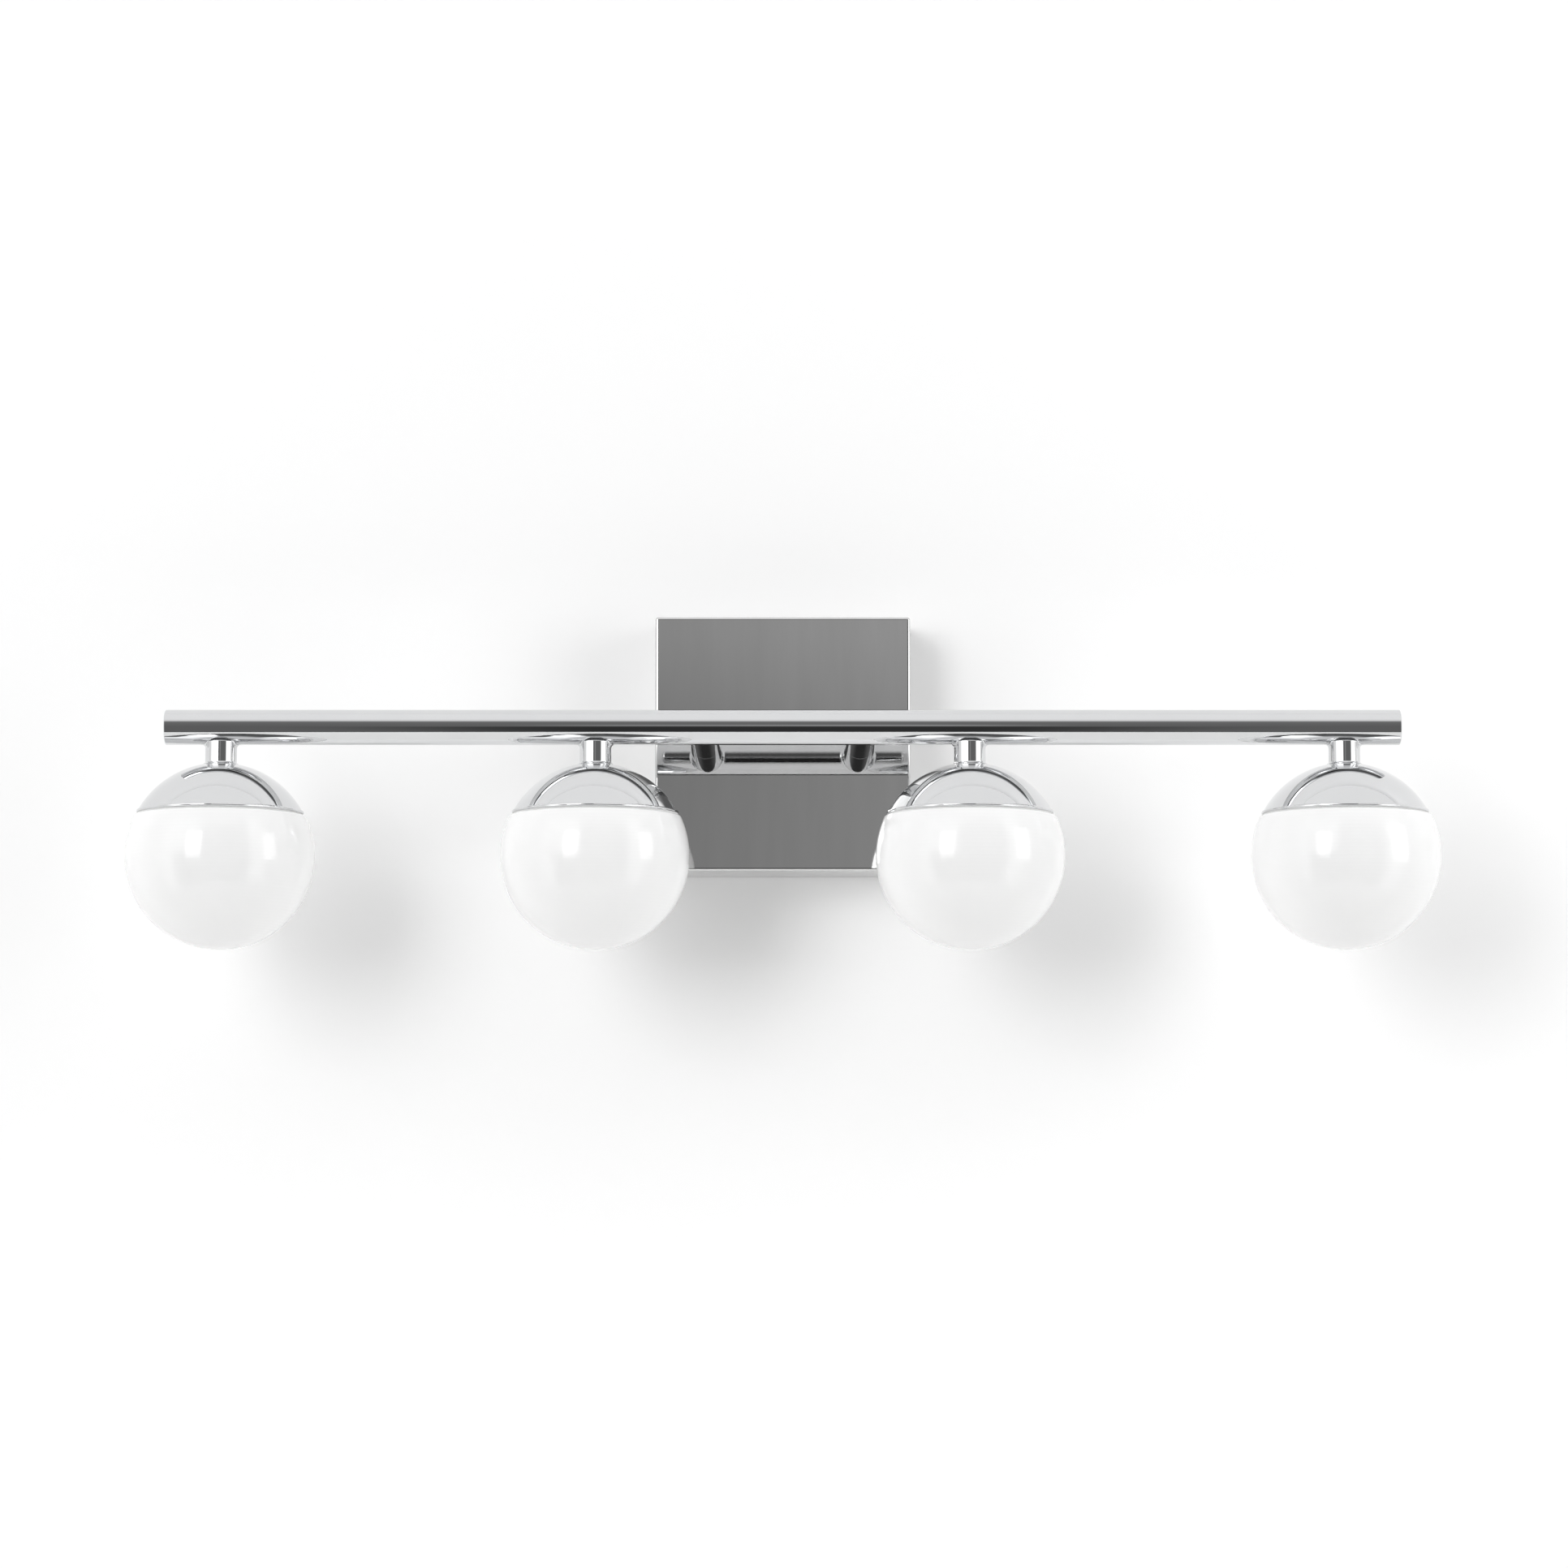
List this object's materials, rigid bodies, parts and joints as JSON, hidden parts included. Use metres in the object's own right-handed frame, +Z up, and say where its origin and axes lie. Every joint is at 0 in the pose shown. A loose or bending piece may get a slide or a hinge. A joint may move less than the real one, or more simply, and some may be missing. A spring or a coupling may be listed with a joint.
{
  "type": "vanity light bar",
  "caption": "Wall light for over a bathroom mirror: a chrome bar on a square canopy, with opal glass globes hanging under it on short stems.",
  "frame": {"origin": "centre of the wall bracket's back face, which is the centre of the canopy's open back, on the wall", "axes": "+X to the right along the bar, seen from the room; +Y straight into the wall; +Z up"},
  "size_m": [0.707, 0.1693, 0.1915],
  "materials": {
    "chrome": "mirror polish",
    "canopy_steel": "polished, with faint upright brushing",
    "zinc_steel": "zinc plated",
    "spring_steel": "satin",
    "green_screw": "dyed zinc plate",
    "green_wire": "insulated wire",
    "contact_brass": "stamped",
    "black_wire": "insulated wire",
    "white_wire": "insulated wire",
    "connector_plastic": "moulded",
    "silicone": "soft silicone",
    "opal_glass": "opal, glossy",
    "holder_ceramic": "unglazed",
    "bulb_frosted_glass": "frosted",
    "bulb_ceramic": "matte",
    "pin_nickel": "nickel wire"
  },
  "bodies": {
    "fixture": {"canopy": "canopy_steel", "canopy_screws": "chrome", "wall_bracket": "zinc_steel", "ground_screw": "green_screw", "ground_lead": "green_wire", "arm_left": "chrome", "arm_right": "chrome", "arm_nipples": "zinc_steel", "arm_nuts": "zinc_steel", "bar_tube": "chrome", "bar_end_plug_left": "chrome", "bar_end_plug_right": "chrome", "lamp_nipples": "zinc_steel", "holder_nuts": "zinc_steel", "holder_screws": "zinc_steel", "holder_contacts": "contact_brass", "leads_hot": "black_wire", "leads_neutral": "white_wire", "wire_connectors": "connector_plastic", "stem_1": "chrome", "stem_2": "chrome", "stem_3": "chrome", "stem_4": "chrome", "cap_1": "chrome", "cap_2": "chrome", "cap_3": "chrome", "cap_4": "chrome", "gasket_1": "silicone", "gasket_2": "silicone", "gasket_3": "silicone", "gasket_4": "silicone", "shade_spring_1": "spring_steel", "shade_spring_2": "spring_steel", "shade_spring_3": "spring_steel", "shade_spring_4": "spring_steel", "holder_bracket_1": "zinc_steel", "holder_bracket_2": "zinc_steel", "holder_bracket_3": "zinc_steel", "holder_bracket_4": "zinc_steel", "lampholder_1": "holder_ceramic", "lampholder_2": "holder_ceramic", "lampholder_3": "holder_ceramic", "lampholder_4": "holder_ceramic"},
    "globe_1": {"globe_1": "opal_glass"},
    "bulb_1": {"bulb_glass_1": "bulb_frosted_glass", "bulb_base_1": "bulb_ceramic", "bulb_pins_1": "pin_nickel"},
    "globe_2": {"globe_2": "opal_glass"},
    "bulb_2": {"bulb_glass_2": "bulb_frosted_glass", "bulb_base_2": "bulb_ceramic", "bulb_pins_2": "pin_nickel"},
    "globe_3": {"globe_3": "opal_glass"},
    "bulb_3": {"bulb_glass_3": "bulb_frosted_glass", "bulb_base_3": "bulb_ceramic", "bulb_pins_3": "pin_nickel"},
    "globe_4": {"globe_4": "opal_glass"},
    "bulb_4": {"bulb_glass_4": "bulb_frosted_glass", "bulb_base_4": "bulb_ceramic", "bulb_pins_4": "pin_nickel"}
  },
  "joints": [
    {"name": "globe_1_pull", "type": "slide", "parent": "fixture", "child": "globe_1", "axis": [0, 0, -1], "range_m": [0, 0.06]},
    {"name": "globe_2_pull", "type": "slide", "parent": "fixture", "child": "globe_2", "axis": [0, 0, -1], "range_m": [0, 0.06]},
    {"name": "globe_3_pull", "type": "slide", "parent": "fixture", "child": "globe_3", "axis": [0, 0, -1], "range_m": [0, 0.06]},
    {"name": "globe_4_pull", "type": "slide", "parent": "fixture", "child": "globe_4", "axis": [0, 0, -1], "range_m": [0, 0.06]},
    {"name": "bulb_1_pull", "type": "slide", "parent": "fixture", "child": "bulb_1", "axis": [0, 0, -1], "range_m": [0, 0.012]},
    {"name": "bulb_2_pull", "type": "slide", "parent": "fixture", "child": "bulb_2", "axis": [0, 0, -1], "range_m": [0, 0.012]},
    {"name": "bulb_3_pull", "type": "slide", "parent": "fixture", "child": "bulb_3", "axis": [0, 0, -1], "range_m": [0, 0.012]},
    {"name": "bulb_4_pull", "type": "slide", "parent": "fixture", "child": "bulb_4", "axis": [0, 0, -1], "range_m": [0, 0.012]}
  ]
}
